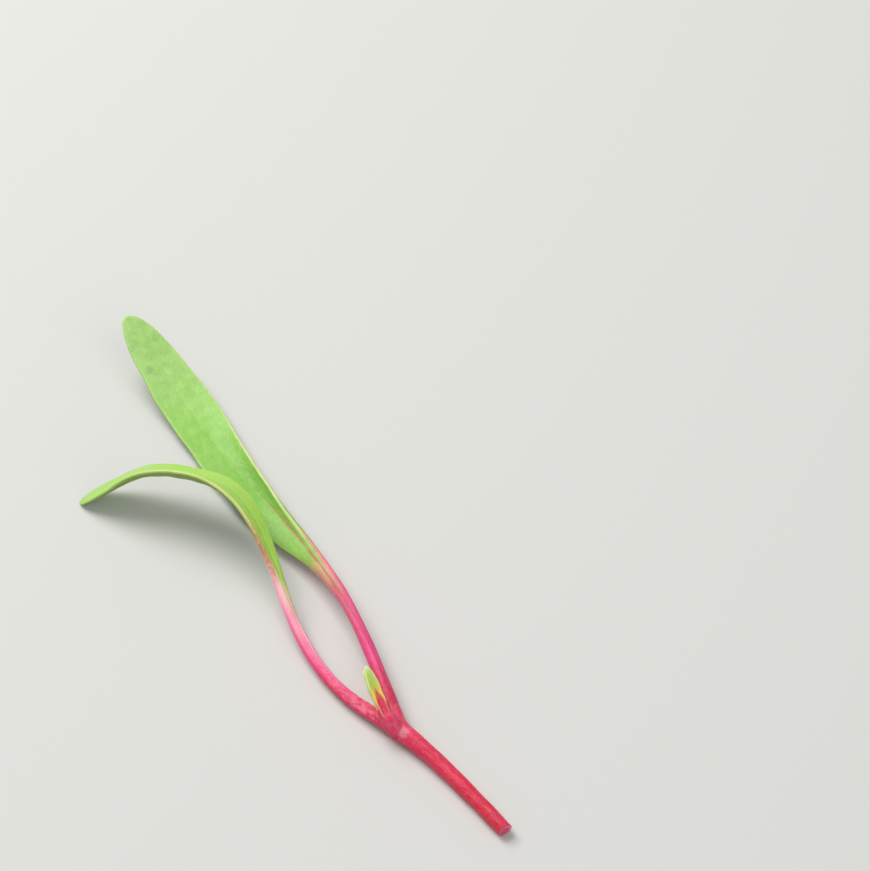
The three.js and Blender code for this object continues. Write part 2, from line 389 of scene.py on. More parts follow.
def attribute(tree, name, output="Fac"):
    """A fact stored in the mesh: as one number, or as its "Vector"."""
    return put(tree, "Attribute", attribute_name=name).outputs[output]


def straight_place(tree):
    """`straight` as a vector, and its three numbers: across, along and up."""
    vector = attribute(tree, "straight", "Vector")
    return vector, *put(tree, "SeparateXYZ", {0: vector}).outputs


def away_from(tree, straight, spot):
    """How far the place on the limb is from one spot on it, in millimetres."""
    return put(tree, "VectorMath", {0: straight, 1: spot}, operation="DISTANCE").outputs["Value"]


def colour_stops(tree, value, stops):
    """A smooth run of colours along a value from 0 to 1; each stop is a place and its paint."""
    node = put(tree, "ValToRGB", {"Fac": value})
    ramp = node.color_ramp
    ramp.interpolation = "EASE"
    stops = [(place, paint(*colour)) for place, colour in stops]
    for place, colour in stops[1:-1]:
        ramp.elements.new(place).color = colour
    for end in (0, -1):
        ramp.elements[end].position, ramp.elements[end].color = stops[end]
    return node.outputs["Color"]


# %% [markdown]
# ## Effects that every part of the plant shares
#
# Skin looks alive because of four things at four sizes: soft clouds of deeper and paler flesh,
# fibres that run along the limb, scattered pale flecks, and the fine grain of the surface cells.
# Each is a group that gives a mask from 0 to 1. They all read `straight`, in millimetres, so they
# follow every bend of the limb without a seam.


# %% Clouds, fibres, flecks and cells
def on_limb(tree, share):
    """The place on the limb, with its length multiplied by a share."""
    stretch = put(tree, "CombineXYZ", {"X": 1.0, "Y": share, "Z": 1.0}).outputs[0]
    return put(tree, "VectorMath", {0: attribute(tree, "straight", "Vector"), 1: stretch},
               operation="MULTIPLY").outputs[0]


def own_lot(tree, cells):
    """The random number that each Voronoi cell draws."""
    return put(tree, "SeparateColor", {"Color": cells.outputs["Color"]}).outputs[0]


def clouds_group():
    """Soft patches: noise, sharpened round its middle."""
    tree, given, result = group("Flesh clouds", {"Size mm": 1.0, "Softness": 0.18, "Lengthen": 2.0},
                                ["Mask"])
    placed = on_limb(tree, maths(tree, "DIVIDE", 1.0, given["Lengthen"]))
    noise = put(tree, "TexNoise", {
        "Vector": placed, "Scale": maths(tree, "DIVIDE", 1.0, given["Size mm"]),
        "Detail": 4.0, "Roughness": 0.55, "Distortion": 0.4}).outputs[0]
    tree.links.new(spread(tree, noise, maths(tree, "SUBTRACT", 0.5, given["Softness"]),
                          maths(tree, "ADD", 0.5, given["Softness"])), result["Mask"])
    return tree


def fibres_group():
    """Threads along the limb: noise squeezed to a fourteenth of its frequency that way."""
    tree, given, result = group("Long fibres", {"Fineness": 6.0, "Waver": 0.35}, ["Mask"])
    noise = put(tree, "TexNoise", {
        "Vector": on_limb(tree, 0.07), "Scale": given["Fineness"], "Detail": 3.0,
        "Roughness": 0.5, "Distortion": given["Waver"]}).outputs[0]
    tree.links.new(spread(tree, noise, 0.36, 0.64), result["Mask"])
    return tree


def flecks_group():
    """Separate soft spots: the middles of Voronoi cells that a random lot has chosen."""
    tree, given, result = group("Pale flecks", {"Per mm": 2.2, "Plenty": 0.5, "Lengthen": 1.8},
                                ["Mask"])
    placed = on_limb(tree, maths(tree, "DIVIDE", 1.0, given["Lengthen"]))
    wobble = put(tree, "TexNoise", {"Vector": placed, "Scale": 5.0, "Detail": 2.0}).outputs[1]
    bent = put(tree, "VectorMath", {0: wobble, 1: (0.16,) * 3, 2: placed},
               operation="MULTIPLY_ADD").outputs[0]
    cells = put(tree, "TexVoronoi", {"Vector": bent, "Scale": given["Per mm"], "Randomness": 1.0})
    spot = spread(tree, cells.outputs["Distance"], 0.12, 0.42, 1.0, 0.0)
    lot = own_lot(tree, cells)
    chosen = maths(tree, "LESS_THAN", lot, given["Plenty"])
    strength = times(tree, chosen, spread(tree, lot, 0.0, given["Plenty"], 1.0, 0.35))
    tree.links.new(times(tree, spot, strength), result["Mask"])
    return tree


def cells_group():
    """The grain of the skin: a dome on each Voronoi cell, and the cell's own random shade."""
    tree, given, result = group("Skin cells", {"Per mm": 8.0}, ["Height", "Mask"])
    cells = put(tree, "TexVoronoi", {"Vector": on_limb(tree, 0.55), "Scale": given["Per mm"],
                                     "Smoothness": 0.6}, feature="SMOOTH_F1")
    dome = spread(tree, cells.outputs["Distance"], 0.0, 0.7, 1.0, 0.0)
    tree.links.new(dome, result["Height"])
    tree.links.new(own_lot(tree, cells), result["Mask"])
    return tree


CLOUDS, FIBRES, FLECKS, CELLS = clouds_group(), fibres_group(), flecks_group(), cells_group()
MOTTLE = dict(Size_mm=0.34, Softness=0.16, Lengthen=1.5)  # the clouds of every pale blotch
print("shared effects:", [tree.name for tree in (CLOUDS, FIBRES, FLECKS, CELLS)])


# %% [markdown]
# ## One kind of skin shader
#
# Plant skin is a moist, slightly waxy coat over flesh that lets a little light wander through.
# The Principled shader does both: a fairly low, uneven roughness for the coat, and subsurface
# light for the flesh.


# %% A skin material from its colour, roughness and heights
def skin_material(name, flesh_depth_mm, glow):
    """An empty material with the plant's shader in it; colour and relief are linked by callers."""
    material = bpy.data.materials.new(name)
    material.use_nodes = True
    tree = material.node_tree
    shader = tree.nodes["Principled BSDF"]
    shader.inputs["Subsurface Weight"].default_value = glow
    shader.inputs["Subsurface Scale"].default_value = flesh_depth_mm * MM
    shader.inputs["Subsurface Radius"].default_value = (1.0, 0.7, 0.35)
    shader.inputs["IOR"].default_value = 1.42
    shader.inputs["Specular IOR Level"].default_value = 0.42
    return material, tree, shader


def finish_skin(tree, shader, colour, roughness, *reliefs):
    """Links colour and roughness, and stacks the reliefs, each a height and its depth in mm."""
    tree.links.new(colour, shader.inputs["Base Color"])
    tree.links.new(roughness, shader.inputs["Roughness"])
    normal = None
    for height, depth in reliefs:
        bump = put(tree, "Bump", {"Height": height, "Distance": depth * MM, "Strength": 1.0})
        if normal is not None:
            tree.links.new(normal, bump.inputs["Normal"])
        normal = bump.outputs[0]
    tree.links.new(normal, shader.inputs["Normal"])


# %% [markdown]
# ## The sizes of this seedling
#
# These are the frame's own sizes, in millimetres. The stem is thickest at the fork. The stalks
# start a little wider than they go on, and the blades are seven times as wide as they are thick.
#
# Each seed leaf has its own habits as knots: how each half widens along the blade, how far the
# section rolls to one side, and how far each half curls up. They make one leaf lie like a boat
# and the other arch with its margin to the viewer.

# %% Sizes and midlines
STEM_LENGTH, STEM_CUT_WIDTH, STEM_FORK_WIDTH = 11.6, 1.1, 1.45
STALK_THICKNESS = 0.95
BLADE_WIDTH, BLADE_THICKNESS = 4.6, 0.62
PRESS = 0.05  # how deep what lies on the table is pressed flat
FORK_CLEARANCE, STALK_CLEARANCE = 0.08, 0.15  # under the fork, and under the arched leaf's stalk
FORK_HEIGHT = STEM_FORK_WIDTH / 2 + FORK_CLEARANCE

STEM_WIDTHS = [[0, STEM_FORK_WIDTH],
               [0.25, between(STEM_FORK_WIDTH, STEM_CUT_WIDTH, 0.55)],
               [1, STEM_CUT_WIDTH]]
stem_path = walk(
    (0, 0), STEM_LENGTH,
    bearing=[[0, -42], [0.5, -50], [1, -53]],
    height=[[0, FORK_HEIGHT], [0.5, along(STEM_WIDTHS, 0.5) / 2 - PRESS / 2],
            [1, STEM_CUT_WIDTH / 2 - PRESS]],
)
LONG = dict(
    stalk=17.5, blade=31.2, seed=11, bluntness=7,
    stalk_width=[[0, 1.25], [5, 1.0], [12, 0.85], [50, 0.85]],
    widening_right=[[-0.05, 0], [0.05, 0.02], [0.22, 0.28], [0.4, 0.74], [0.6, 1.0], [0.8, 1.06],
                    [1, 1.06]],
    widening_left=[[-0.16, 0], [0.0, 0.28], [0.12, 0.7], [0.3, 1.0], [0.6, 1.0], [1, 1.0]],
    roll=[[0, 0], [0.2, 14], [0.33, 30], [0.45, 25], [0.56, 7], [0.66, 1], [1, 2]],
    curl_right=[[0, 5], [0.3, 60], [0.38, 92], [0.47, 90], [0.57, 84], [0.68, 50], [0.8, 15],
                [1, 10]],
    curl_left=[[0, 5], [0.4, 25], [0.6, 20], [1, 15]],
)
LONG["path"] = walk(
    (0, 0), LONG["stalk"] + LONG["blade"],
    bearing=[[0, 107], [0.13, 110], [0.3, 117], [0.42, 121.5], [0.5, 125], [0.6, 124.5],
             [0.7, 121.5], [0.82, 124], [1, 133]],
    height=[[0, FORK_HEIGHT + 0.1], [0.13, 1.5], [0.28, 1.9], [0.45, 1.2],
            [0.65, (BLADE_THICKNESS - PRESS) / 2], [0.8, 0.8], [0.9, 2.2], [1, 4.6]],
)
ARCHED = dict(
    stalk=14.5, blade=25.5, seed=23, bluntness=6,
    stalk_width=[[0, 1.35], [4, 1.1], [9, 0.9], [40, 0.9]],
    widening_right=[[-0.06, 0], [0.05, 0.04], [0.2, 0.18], [0.34, 0.44], [0.5, 0.78], [1, 0.9]],
    widening_left=[[-0.03, 0], [0.08, 0.03], [0.2, 0.1], [0.34, 0.36], [0.5, 0.74], [1, 0.9]],
    roll=[[0, 0], [0.3, -22], [0.45, -34], [0.6, -36], [0.75, -38], [0.88, -30], [1, -22]],
    curl_right=[[0, 5], [0.38, 42], [0.55, 28], [0.7, 20], [0.85, 18], [1, 12]],
    curl_left=[[0, 5], [0.38, 42], [0.55, 30], [0.7, 20], [0.85, 18], [1, 12]],
)
ARCHED["path"] = walk(
    (0, 0), ARCHED["stalk"] + ARCHED["blade"],
    bearing=[[0, 143], [0.1, 138], [0.2, 124], [0.35, 113], [0.5, 113.5],
             [0.62, 132], [0.75, 158], [0.88, 178], [1, 194]],
    height=[[0, FORK_HEIGHT], [0.15, STALK_THICKNESS / 2 + STALK_CLEARANCE], [0.3, 1.05],
            [0.45, 2.6], [0.58, 4.0], [0.7, 4.4], [0.82, 3.5], [0.93, 1.35], [1, PRESS]],
)
print("midlines in mm: stem", STEM_LENGTH, "long", LONG["path"]["length"], "arched",
      ARCHED["path"]["length"])

# %% [markdown]
# ## The stem and the fork
#
# A seedling's skin flows from the stem up both stalks with a soft web between them, where plain
# tubes would meet in hard creases. So the tubes are merged by a voxel remesh, and then every
# point is slid along its own normal onto one blended surface: where -k log(sum exp(-d / k)) is
# zero, d being the distance outside each tube.


# %% The blended surface of the fork
STUB_LENGTH = 3.0  # how far the stem piece reaches up each stalk
BUD_FOOT_LENGTH = 1.7
CUT_BACK = 0.06  # from the stem's end to the knife cut
CUT_SLANT = 0.10
CUT_ROUGHNESS = 0.015


def stub_width(d, full):
    """Full width at the fork, and a tenth less at its end, so that a stub sinks into its stalk."""
    return full * (1 - 0.11 * ease(d, 1.0, STUB_LENGTH))


def limbs_at_fork():
    """The midlines that meet at the fork, each with its width and thickness along the way.

    The fourth is the soft pink foot that the true leaves stand on.
    """
    stem_d = np.linspace(0, STEM_LENGTH, 460)
    stalk_d = np.linspace(0, STUB_LENGTH, 120)
    long_foot, arched_foot = [along(leaf["stalk_width"], stalk_d) for leaf in (LONG, ARCHED)]
    thick = np.full_like(stalk_d, STALK_THICKNESS)
    stem_w = along(STEM_WIDTHS, stem_d / STEM_LENGTH)
    bud_foot = walk((-0.15, -0.15), BUD_FOOT_LENGTH, bearing=[[0, 152], [0.5, 140], [1, 124]],
                    height=[[0, 0.95], [0.5, 1.5], [1, 1.95]])
    foot_d = np.linspace(0, BUD_FOOT_LENGTH, 80)
    foot_w = along([[0, 1.3], [0.6, 1.2], [1, 0.95]], foot_d / BUD_FOOT_LENGTH)
    foot_h = along([[0, 1.2], [0.6, 1.3], [1, 0.8]], foot_d / BUD_FOOT_LENGTH)
    return [
        (stem_path, stem_d, stem_w, stem_w),
        (LONG["path"], stalk_d, stub_width(stalk_d, long_foot), stub_width(stalk_d, thick)),
        (ARCHED["path"], stalk_d, stub_width(stalk_d, arched_foot), stub_width(stalk_d, thick)),
        (bud_foot, foot_d, foot_w, foot_h),
    ]


def stem_relief(d, angle):
    """Low ridges along the limb and slow swellings, as a share of the radius."""
    ridges = 0.014 * np.cos(7 * angle + 0.25 * d) + 0.008 * np.cos(11 * angle - 0.4 * d)
    return ridges + 0.022 * ripple(d, 0.6 * np.sin(angle), 2.6, seed=5)


def outside(points, limb):
    """How far each point lies outside one limb, and its place on that limb.

    At the nearest walked station, y and z are measured square to the midline, and
    d = (sqrt((y/w)^2 + (z/h)^2 + (t/w)^2) - 1 - relief) (w + h) / 2, t being any overshoot.
    """
    path, stations, widths, thicks = limb
    middles = read(path, "points", stations)
    near = np.concatenate([
        np.argmin(((chunk[:, None] - middles[None]) ** 2).sum(-1), axis=1)
        for chunk in np.array_split(points, max(1, len(points) // 4000))])
    d = stations[near]
    away = points - middles[near]
    y, z, t = [(away * read(path, which, d)).sum(-1) for which in ("right", "over", "tangents")]
    w, h = widths[near] / 2, thicks[near] / 2
    ends = (near == 0) | (near == len(stations) - 1)
    radius = np.sqrt((y / w) ** 2 + (z / h) ** 2 + (ends * t / w) ** 2)
    gap = (radius - 1 - stem_relief(d, np.arctan2(z, y))) * (w + h) / 2
    return gap, d, y, z


def past_stem_end(points):
    """How far each point lies beyond the stem's end, along the stem."""
    end, way = [read(stem_path, which, STEM_LENGTH) for which in ("points", "tangents")]
    return (points - end) @ way


def blended(points, limbs, softness=0.10):
    """The signed gap to the blended surface, trimmed at the stem's end by the knife cut.

    The cut is ahead + CUT_BACK + CUT_SLANT y + a little roughness = 0, `ahead` being the distance
    past the stem's end and y the place across it.
    """
    found = [outside(points, limb) for limb in limbs]
    gaps = np.stack([one[0] for one in found])
    least = gaps.min(0)
    skin = least - softness * np.log(np.exp(-(gaps - least) / softness).sum(0))
    _, _, y, z = found[0]
    uneven = CUT_ROUGHNESS * ripple(y, z, 0.45, seed=31) + CUT_SLANT * y
    return np.maximum(skin, past_stem_end(points) + CUT_BACK + uneven), found


limbs = limbs_at_fork()
print("fork limbs have", [len(limb[1]) for limb in limbs], "stations")


# %% The tubes merged, then slid onto the blended surface
def plain_tube(limb, around=48):
    """One limb of the fork by itself: its points and faces."""
    path, d, widths, thicks = limb
    grid, _ = limb_skin(path, d, around, widths / 2, widths / 2, thicks / 2)
    return close_ends(grid), tube_faces(len(d), around)


def merged_tubes(limbs, voxel=0.05):
    """One closed mesh, a unit to a millimetre, from a voxel remesh of the separate tubes."""
    points, faces = [], []
    for limb in limbs:
        tube_points, tube = plain_tube(limb)
        faces += [(face + sum(map(len, points))).tolist() for face in tube]
        points.append(tube_points)
    mesh = bpy.data.meshes.new("fork_tubes")
    mesh.from_pydata(np.concatenate(points).tolist(), [], faces)
    tubes = add_object("fork_tubes", mesh)
    remesh = tubes.modifiers.new("merge", "REMESH")
    remesh.mode, remesh.voxel_size = "VOXEL", voxel
    whole = tubes.evaluated_get(bpy.context.evaluated_depsgraph_get())
    made = bpy.data.meshes.new_from_object(whole)
    spots, normals = np.empty(len(made.vertices) * 3), np.empty(len(made.vertices) * 3)
    made.vertices.foreach_get("co", spots)
    made.vertex_normals.foreach_get("vector", normals)
    quads = [np.array(polygon.vertices) for polygon in made.polygons]
    bpy.data.objects.remove(tubes)
    bpy.data.meshes.remove(mesh)
    bpy.data.meshes.remove(made)
    return spots.reshape(-1, 3), normals.reshape(-1, 3), quads


def slide_on(points, normals, limbs, passes=5):
    """Secant steps along each point's own normal until the blended gap is zero."""
    moved = np.zeros(len(points))
    gap, _ = blended(points, limbs)
    trial = moved - np.clip(gap, -0.1, 0.1)
    for _ in range(passes):
        new_gap, _ = blended(points + trial[:, None] * normals, limbs)
        slope = (new_gap - gap) / np.where(np.abs(trial - moved) < 1e-9, 1e-9, trial - moved)
        step = np.clip(-new_gap / np.where(np.abs(slope) < 0.3, 1.0, slope), -0.08, 0.08)
        moved, gap, trial = trial, new_gap, np.clip(trial + step, -0.35, 0.35)
    return points + trial[:, None] * normals


raw_points, raw_normals, stem_faces = merged_tubes(limbs)
stem_points = slide_on(raw_points, raw_normals, limbs)
left_gap, found = blended(stem_points, limbs)
left_gap = np.abs(left_gap)
print("stem points", len(stem_points), "left off the blended surface by up to",
      round(float(left_gap.max()), 3), "mm, on average", round(float(left_gap.mean()), 4))

# %% [markdown]
# The stem's own facts: along the stem `straight` counts millimetres from the fork towards the
# cut, and up the stalks it counts below zero, so that one run of colours crosses the fork. `cut`
# is 1 on the cut face, and `core` runs from the middle of the stem out to its skin.

# %% The stem piece
gaps = np.stack([one[0] for one in found])
owner = gaps.argmin(0)
along_stem = np.choose(owner, [found[0][1], -found[1][1], -found[2][1], -found[3][1]])
across_stem = np.choose(owner, [one[2] for one in found])
up_stem = np.choose(owner, [one[3] for one in found])
stem_facts = dict(
    straight=np.stack([across_stem, along_stem, up_stem], axis=-1),
    cut=ease(past_stem_end(stem_points), -0.22, -0.1),
    core=np.hypot(across_stem, up_stem) / (STEM_CUT_WIDTH / 2),
)
stem = make_piece("seedling_stem", stem_points, stem_faces, stem_facts, "stem")

# %% [markdown]
# ## Stem skin
#
# The stem is a deep crimson that turns pinker at the fork. Its colour sits in the outer cells,
# so thin places and rubbed places show the pale flesh under it as flecks and as the whitish scar
# where the plant divides. Pale blotches on the upper side near the fork are partly the skin's own
# mottling and partly a painted highlight where the light falls on top. The knife cut shows a
# paler ring of fibres round a deep pink core.


# %% The stem's material
def stem_material():
    """Crimson along the stem, mottled and scarred at the fork, with the flesh of the cut."""
    material, tree, shader = skin_material("crimson_stem_skin", flesh_depth_mm=0.5, glow=0.28)
    straight, _, distance, up = straight_place(tree)
    clouds = use(tree, CLOUDS, Size_mm=0.8, Softness=0.2, Lengthen=3.0)["Mask"]
    fibres = use(tree, FIBRES, Fineness=5.5, Waver=0.3)["Mask"]
    flecks = use(tree, FLECKS, Per_mm=4.2, Plenty=0.5, Lengthen=1.5)["Mask"]
    cells = use(tree, CELLS, Per_mm=9.0)

    place = maths(tree, "ADD", distance, swing(tree, clouds, 1.2))
    base = colour_stops(tree, spread(tree, place, -STUB_LENGTH, STEM_LENGTH), [
        (0.0, (222, 52, 96)), (0.14, (224, 48, 92)), (0.3, (224, 40, 82)), (0.7, (216, 26, 62)),
        (1.0, (204, 24, 52))])
    mottle = use(tree, CLOUDS, **MOTTLE)["Mask"]
    # Pale blotches on the upper side near the fork: partly the skin's own mottling, partly a
    # painted highlight where the light falls on top.
    lit_upper_side = spread(tree, up, -0.1, 0.5)
    pale = times(tree, mottle, lit_upper_side, spread(tree, distance, -2.6, 3.5, 0.3, 0.12))
    off_scar = away_from(tree, straight, (0.25, 0.55, 0.62))
    ragged = maths(tree, "ADD", off_scar, swing(tree, mottle, 0.3))
    scar = times(tree, spread(tree, ragged, 0.18, 0.58, 1.0, 0.0),
                 spread(tree, fibres, 0.2, 0.7, 0.6, 1.0))
    skin = coats(tree, base,
                 (times(tree, clouds, 0.5), (196, 14, 52)),
                 (times(tree, fibres, 0.08), (244, 92, 124)),
                 (pale, (248, 140, 166)),
                 (times(tree, flecks, 0.22), (250, 150, 172)),
                 (times(tree, scar, 0.55), (230, 184, 196)))

    cut_flesh = colour_stops(tree, attribute(tree, "core"), [
        (0.0, (214, 70, 108)), (0.45, (204, 46, 88)), (0.75, (236, 112, 146)),
        (1.0, (206, 34, 70))])
    cut_flesh = coats(tree, cut_flesh, (times(tree, cells["Mask"], 0.25), (244, 150, 172)))
    colour = tint(tree, attribute(tree, "cut"), skin, cut_flesh)
    rough = maths(tree, "ADD", spread(tree, clouds, 0, 1, 0.30, 0.42),
                  times(tree, scar, 0.15))
    finish_skin(tree, shader, colour, rough, (fibres, 0.020), (cells["Height"], 0.006),
                (flecks, 0.006))
    return material


stem.data.materials.append(stem_material())

# %% [markdown]
# ## A seed leaf
#
# A beet seed leaf is long, blunt and fleshy, and has no clear line where the stalk ends, so stalk
# and blade are one surface here. The section starts as an ellipse with a groove on top and turns
# into a flat strip with round edges. The relief adds a fine midrib, faint side veins that lean
# forward, soft swellings, margins that waver, and low ridges along the stalk.


# %% The leaf's section along its length
def leaf_stations(leaf, foot=0.8, on_stalk=170, on_blade=330):
    """Even steps up the stalk, then blade steps that crowd towards the tip as sin does."""
    stalk = np.linspace(foot, leaf["stalk"], on_stalk, endpoint=False)
    turn = np.linspace(0, math.pi / 2, on_blade)
    return np.append(stalk, leaf["stalk"] + leaf["blade"] * np.sin(turn))


def leaf_relief(leaf):
    """Small moves of the section's points, in millimetres, for one leaf.

    `out` is the share of the blade's length, below zero on the stalk. A vein is a Gaussian line
    wherever d - 1.5 |y|, a slanted length, passes a whole number of vein spacings.
    """
    seed = leaf["seed"]

    def relief(d, y, z, cos, sin):
        out = (d - leaf["stalk"]) / leaf["blade"]
        blade = ease(out, -0.1, 0.3)
        inner = 1 - np.abs(cos) ** 4
        upper = (sin > 0).astype(float)
        fade = blade * inner * ease(1 - out, 0.02, 0.35)
        midrib = -0.045 * upper * np.exp(-((y / 0.16) ** 2)) * fade
        lean = (d - 1.5 * np.abs(y) + 0.25 * ripple(d, y, 6.0, seed + 1)) / 2.9
        vein = np.exp(-((np.sin(math.pi * lean) / 0.22) ** 2)) * np.abs(cos) ** 0.5
        veins = -0.016 * vein * fade * (2 * upper - 1)
        swell = 0.020 * ripple(d, y, 1.5, seed + 2) * inner * blade
        sway = 0.09 * ripple(d, 0.8 * y, 7.5, seed + 3) * blade * ease(1 - out, 0, 0.1)
        ridges = 0.012 * np.cos(9 * np.arctan2(sin, cos) + 0.2 * d) * (1 - blade)
        y = y * (1 + 0.018 * blade * ripple(d, 3 * np.sign(cos), 4.5, seed + 4))
        y = y * (1 + 0.02 * ripple(d, 0 * d, 5.0, seed + 5) + ridges)
        return y, z * (1 + ridges) + midrib + veins + swell + sway

    return relief


def leaf_skin(leaf, around=96):
    """The stalk's ellipse widens and flattens into the blade; both halves close at the tip."""
    d = leaf_stations(leaf)
    path = leaf["path"]
    share = d / path["length"]
    out = (d - leaf["stalk"]) / leaf["blade"]
    flattening = ease(out, -0.15, 0.25)
    rounding = (1 - np.clip(out, 0, 1) ** leaf["bluntness"]) ** 0.5
    stalk_width = along(leaf["stalk_width"], d)
    sunk = 1 - 0.12 * ease(2.8 - d, 0, 2.0)  # the foot slims down inside the fork's stub
    right, left = [
        (stalk_width / 2 + along(leaf[side], out) * (BLADE_WIDTH - stalk_width) / 2)
        * rounding * sunk for side in ("widening_right", "widening_left")]
    return limb_skin(
        path, d, around, right, left,
        between(STALK_THICKNESS, BLADE_THICKNESS, flattening) / 2 * np.sqrt(rounding) * sunk,
        roll=along(leaf["roll"], share),
        curl_right=along(leaf["curl_right"], share),
        curl_left=along(leaf["curl_left"], share),
        squareness=between(2.0, 3.0, flattening),
        edge_thinning=0.25 * flattening,
        groove=0.12 * (1 - share) * ease(share, 0.05, 0.3),
        groove_spread=between(0.35 * stalk_width / 2, 0.5, flattening),
        rib=0.16 * flattening * (1 - share),
        rib_spread=between(0.3, 0.6, flattening),
        relief=leaf_relief(leaf),
    )


long_leaf = limb_piece("long_seed_leaf_skin", *leaf_skin(LONG), "seed_leaf", "long_seed_leaf")
arched_leaf = limb_piece("arched_seed_leaf_skin", *leaf_skin(ARCHED), "seed_leaf",
                         "arched_seed_leaf")

# %% [markdown]
# ## Seed leaf skin
#
# The stalk carries the stem's red pigment and loses it on the way up: rose, then a pale pinkish
# white, then green. Red lingers longest along the long leaf's midrib and on the arched leaf's
# left margin. The blade is a light, slightly waxy green. Its underside is painted darker as
# painted shade, and the long leaf's tip is painted paler, partly its own colour and partly painted
# light. A pale yellow rim is painted where the thin margin lets light through. The longer leaf has
# a few faint bruises near its tip.


# %% Leaf materials
def leaf_material(name, leaf, stops, greens, under_shift, left_shift, mottling, rims, red_line,
                  bruises):
    """One leaf's skin.

    stops: the stalk's colours at millimetres from the fork. greens: base, middle, tip, deep and
    underside; the underside green is painted shade, darker than the upper face, and the long
    leaf's pale tip green is partly painted light. under_shift, left_shift: how much further the
    red goes on the underside and on the left. mottling: how pale the blotches on the foot are,
    partly the skin's own mottling and partly painted highlight on the upper face. rims: how pale
    the right and the left margins are, painted light through the thin margin. red_line: where
    the last red lies, how wide, from where to where, and how strong. bruises: the middle, size
    and depth of each dull spot.
    """
    material, tree, shader = skin_material(name, flesh_depth_mm=0.45, glow=0.30)
    length = leaf["path"]["length"]
    base_green, green, tip_green, deep_green, shaded_under_green = greens
    straight, across, distance, _ = straight_place(tree)
    edge, face = attribute(tree, "edge"), attribute(tree, "face")
    clouds = use(tree, CLOUDS, Size_mm=1.3, Softness=0.22, Lengthen=2.2)["Mask"]
    small_clouds = use(tree, CLOUDS, Size_mm=0.26, Softness=0.22, Lengthen=1.3)["Mask"]
    fibres = use(tree, FIBRES, Fineness=5.0, Waver=0.25)["Mask"]
    mottle = use(tree, CLOUDS, **MOTTLE)["Mask"]
    cells = use(tree, CELLS, Per_mm=7.5)
    lower_side = spread(tree, face, -0.5, 0.5, 1.0, 0.0)
    right_side = spread(tree, across, -0.1, 0.1)

    uneven = maths(tree, "ADD", times(tree, fibres, 0.7), times(tree, clouds, 0.9))
    place = maths(tree, "ADD", distance, maths(tree, "SUBTRACT", uneven, 0.8))
    place = maths(tree, "SUBTRACT", place, times(tree, lower_side, under_shift))
    place = maths(tree, "SUBTRACT", place, spread(tree, across, -0.35, 0.15, left_shift, 0.0))
    run = spread_straight(tree, place, 0.0, length)
    stalk = colour_stops(tree, run, [(at / length, colour) for at, colour in stops])
    stalk = tint(tree, times(tree, clouds, 0.35), stalk, paint(204, 32, 84), "MULTIPLY")

    # The pale yellow rim is painted light shining through the thin margin, stronger on one side of
    # each leaf.
    margin = spread(tree, edge, 0.91, 0.985)
    at_tip = spread(tree, distance, length - 14.0, length - 1.0, 1.0, 0.35)
    side = maths(tree, "ADD", times(tree, right_side, rims[0] - rims[1]), rims[1])
    rim = times(tree, margin, at_tip, side, spread(tree, clouds, 0.0, 1.0, 1.0, 0.6))
    blade = colour_stops(tree, spread_straight(tree, distance, leaf["stalk"] - 2.0, length), [
        (0.0, base_green), (0.36, deep_green), (0.6, green), (0.88, tip_green)])
    blade = coats(tree, blade,
                  (times(tree, clouds, 0.26), deep_green),
                  (times(tree, small_clouds, 0.20), (184, 222, 136)),
                  (times(tree, cells["Mask"], 0.22), deep_green),
                  # The underside colour is painted shade: darker than the upper face.
                  (times(tree, lower_side, 0.88), shaded_under_green),
                  (rim, (220, 226, 156)))
    on_blade = spread(tree, place, stops[-1][0] - 3.0, stops[-1][0] + 1.5)
    colour = tint(tree, on_blade, stalk, blade)

    line_at, line_width, start, end, strength = red_line
    wander = swing(tree, clouds, 0.14)
    if line_at == "midrib":
        off_line = maths(tree, "ABSOLUTE", maths(tree, "ADD", across, wander))
    else:
        off_line = maths(tree, "ADD", maths(tree, "SUBTRACT", 1.0, edge), right_side)
    line = spread(tree, off_line, 0.2 * line_width, line_width, 1.0, 0.0)
    broken = spread(tree, small_clouds, 0.0, 0.7, 0.45, 1.0)
    line = times(tree, line, spread(tree, distance, start - 2.5, start),
                 spread(tree, distance, end - 5.0, end, 1.0, 0.0), broken, strength)
    colour = coats(tree, colour, (line, (184, 84, 84)))

    for middle, size, depth in bruises:
        off_bruise = away_from(tree, straight, middle)
        ragged = maths(tree, "ADD", off_bruise, swing(tree, small_clouds, size))
        bruise = times(tree, spread(tree, ragged, 0.1 * size, size, 1.0, 0.0), depth)
        colour = coats(tree, colour, (bruise, (128, 134, 96)))

    # Pale blotches on the foot, stronger on the upper face: partly the skin's own mottling, partly
    # a painted highlight where the light falls on top.
    pale = times(tree, mottle, spread(tree, distance, 3.0, 12.0, mottling, 0.0),
                 spread(tree, face, -0.2, 0.8, 0.2, 1.0))
    colour = coats(tree, colour, (pale, (252, 158, 184)))
    rough = maths(tree, "ADD", spread(tree, clouds, 0, 1, 0.38, 0.48),
                  times(tree, on_blade, 0.06))
    grain = maths(tree, "ADD", times(tree, cells["Height"], 0.6), small_clouds)
    finish_skin(tree, shader, colour, rough, (fibres, 0.006), (grain, 0.012))
    return material


